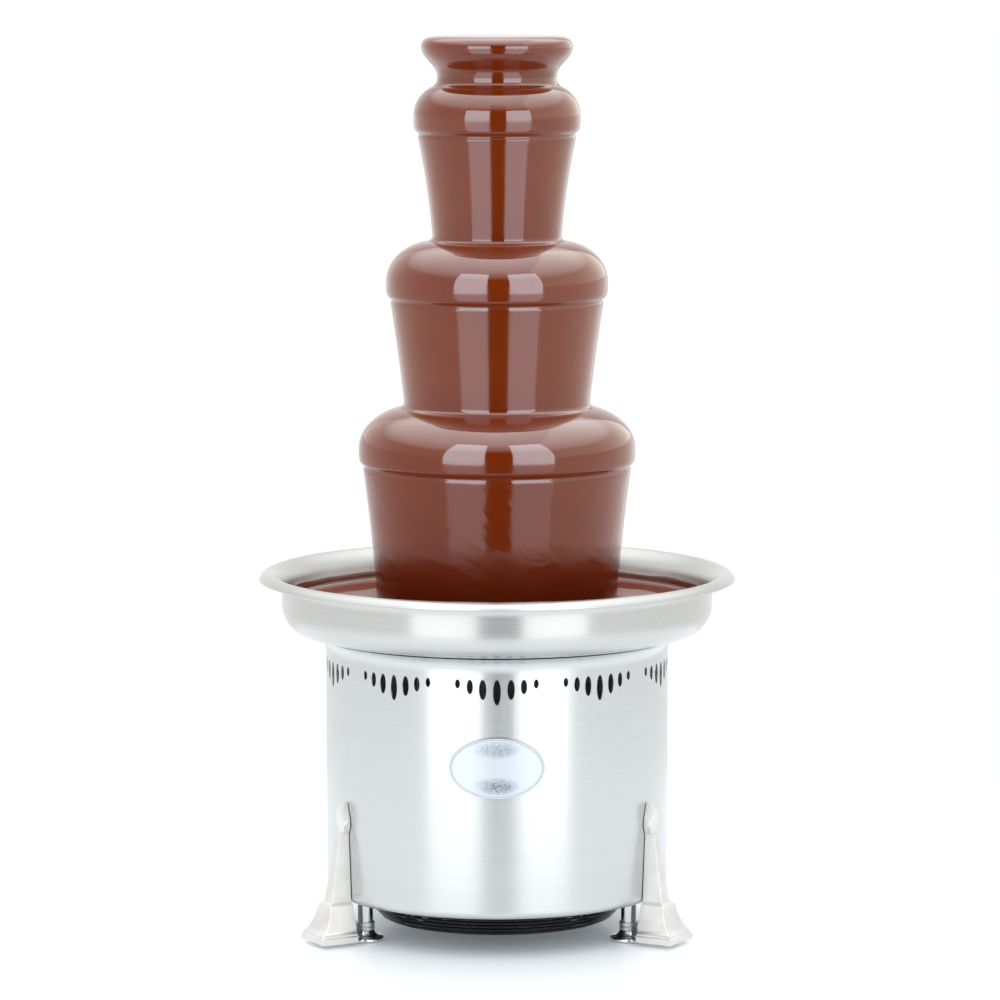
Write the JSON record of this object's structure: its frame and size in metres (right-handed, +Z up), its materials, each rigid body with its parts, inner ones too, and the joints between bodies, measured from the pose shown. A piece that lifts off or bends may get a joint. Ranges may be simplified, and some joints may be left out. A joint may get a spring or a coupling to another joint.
{
  "type": "chocolate fountain",
  "caption": "Free-standing chocolate fountain: round steel motor base with vents and cast legs, rolled-rim basin, stacked domed tiers and a crown under falling chocolate.",
  "frame": {"origin": "on the ground under the machine's axis, at the centre of the bounding box's bottom", "axes": "+Z up along the auger's axis, -Y towards the front with the nameplate, +Y towards the controls"},
  "size_m": [0.3102, 0.3102, 0.5827],
  "materials": {
    "housing_steel": "brushed round the axis",
    "basin_steel": "polished",
    "sheet_steel": "mill finish",
    "satin_nickel": "satin cast",
    "foot_chrome": "polished",
    "zinc": "zinc plated",
    "guard_black": "black coat",
    "plate_silver": "satin",
    "chocolate": "wet gloss",
    "auger_steel": "polished",
    "machined_steel": "machined",
    "motor_iron": "laminated",
    "copper_wire": "enamelled",
    "cast_alloy": "die cast",
    "fan_plastic": "moulded",
    "element_metal": "oxidised",
    "device_plastic": "moulded",
    "rocker_black": "gloss",
    "rocker_red": "gloss",
    "knob_black": "fine grain",
    "lamp_red": "clear",
    "seal_rubber": "smooth",
    "wire_sleeve": "silicone"
  },
  "bodies": {
    "base": {"housing_shell": "housing_steel", "bottom_plate": "sheet_steel", "fan_guard": "guard_black", "guard_side": "guard_black", "top_deck": "sheet_steel", "nameplate": "plate_silver", "front_left_leg": "satin_nickel", "front_right_leg": "satin_nickel", "rear_leg": "satin_nickel", "housing_screws": "zinc", "foot_bushes": "zinc", "motor_stator": "motor_iron", "stator_windings": "copper_wire", "motor_lower_bell": "cast_alloy", "motor_upper_bell": "cast_alloy", "gear_case": "cast_alloy", "gear_cover": "cast_alloy", "gearbox_screws": "zinc", "idler_pin": "machined_steel", "output_bearings": "machined_steel", "heater_plate": "cast_alloy", "heating_element": "element_metal", "heater_posts": "sheet_steel", "thermal_cutout": "device_plastic", "control_tray": "sheet_steel", "rocker_frames": "device_plastic", "thermostat_body": "device_plastic", "indicator_lamp": "lamp_red", "power_inlet": "device_plastic", "wiring": "wire_sleeve"},
    "rotor": {"rotor_core": "motor_iron", "motor_shaft": "machined_steel", "drive_pinion": "machined_steel", "cooling_fan": "fan_plastic"},
    "idler": {"idler_gear": "machined_steel"},
    "output": {"output_gear": "machined_steel", "drive_shaft": "machined_steel"},
    "left_foot": {"front_left_foot": "foot_chrome", "front_left_foot_nut": "zinc"},
    "right_foot": {"front_right_foot": "foot_chrome", "front_right_foot_nut": "zinc"},
    "back_foot": {"rear_foot": "foot_chrome", "rear_foot_nut": "zinc"},
    "motor_switch": {"motor_rocker": "rocker_black"},
    "heat_switch": {"heat_rocker": "rocker_red"},
    "knob": {"thermostat_knob": "knob_black"},
    "bowl": {"basin": "basin_steel", "shaft_seal": "seal_rubber", "basin_chocolate": "chocolate"},
    "auger": {"auger_shaft": "auger_steel", "auger_flight": "auger_steel"},
    "tube": {"feed_tube": "basin_steel"},
    "tier_bottom": {"bottom_tier": "basin_steel", "bottom_chocolate": "chocolate"},
    "tier_middle": {"middle_tier": "basin_steel", "middle_chocolate": "chocolate"},
    "tier_top": {"top_tier": "basin_steel", "top_chocolate": "chocolate"},
    "crown_cup": {"crown": "basin_steel", "crown_chocolate": "chocolate"}
  },
  "joints": [
    {"name": "rotor_spin", "type": "hinge", "parent": "base", "child": "rotor", "pos_m": [0, 0, 0.15], "axis": [0, 0, 1], "continuous": true},
    {"name": "idler_spin", "type": "hinge", "parent": "base", "child": "idler", "pos_m": [0.03, 0, 0.15], "axis": [0, 0, 1], "continuous": true},
    {"name": "output_spin", "type": "hinge", "parent": "base", "child": "output", "pos_m": [0, 0, 0.15], "axis": [0, 0, 1], "continuous": true},
    {"name": "auger_spin", "type": "hinge", "parent": "bowl", "child": "auger", "pos_m": [0, 0, 0.15], "axis": [0, 0, 1], "continuous": true},
    {"name": "left_foot_level", "type": "slide", "parent": "base", "child": "left_foot", "axis": [0, 0, -1], "range_m": [0, 0.012]},
    {"name": "right_foot_level", "type": "slide", "parent": "base", "child": "right_foot", "axis": [0, 0, -1], "range_m": [0, 0.012]},
    {"name": "back_foot_level", "type": "slide", "parent": "base", "child": "back_foot", "axis": [0, 0, -1], "range_m": [0, 0.012]},
    {"name": "motor_rock", "type": "hinge", "parent": "base", "child": "motor_switch", "pos_m": [-0.006, 0.095, 0.1284], "axis": [1, 0, 0], "range_deg": [0, 20]},
    {"name": "heat_rock", "type": "hinge", "parent": "base", "child": "heat_switch", "pos_m": [0.012, 0.095, 0.1284], "axis": [1, 0, 0], "range_deg": [0, 20]},
    {"name": "knob_turn", "type": "hinge", "parent": "base", "child": "knob", "pos_m": [0.035, 0.096, 0.1284], "axis": [0, 1, 0], "range_deg": [0, 270]},
    {"name": "basin_lift", "type": "slide", "parent": "base", "child": "bowl", "axis": [0, 0, 1], "range_m": [0, 0.06]},
    {"name": "tube_lift", "type": "slide", "parent": "bowl", "child": "tube", "axis": [0, 0, 1], "range_m": [0, 0.08]},
    {"name": "bottom_tier_lift", "type": "slide", "parent": "tube", "child": "tier_bottom", "axis": [0, 0, 1], "range_m": [0, 0.06]},
    {"name": "middle_tier_lift", "type": "slide", "parent": "tier_bottom", "child": "tier_middle", "axis": [0, 0, 1], "range_m": [0, 0.06]},
    {"name": "top_tier_lift", "type": "slide", "parent": "tier_middle", "child": "tier_top", "axis": [0, 0, 1], "range_m": [0, 0.06]},
    {"name": "crown_lift", "type": "slide", "parent": "tier_top", "child": "crown_cup", "axis": [0, 0, 1], "range_m": [0, 0.05]}
  ],
  "couplings": [
    {"joint": "idler_spin", "follows": "rotor_spin", "ratio": -0.33333},
    {"joint": "output_spin", "follows": "rotor_spin", "ratio": 0.11111},
    {"joint": "auger_spin", "follows": "rotor_spin", "ratio": 0.11111}
  ]
}
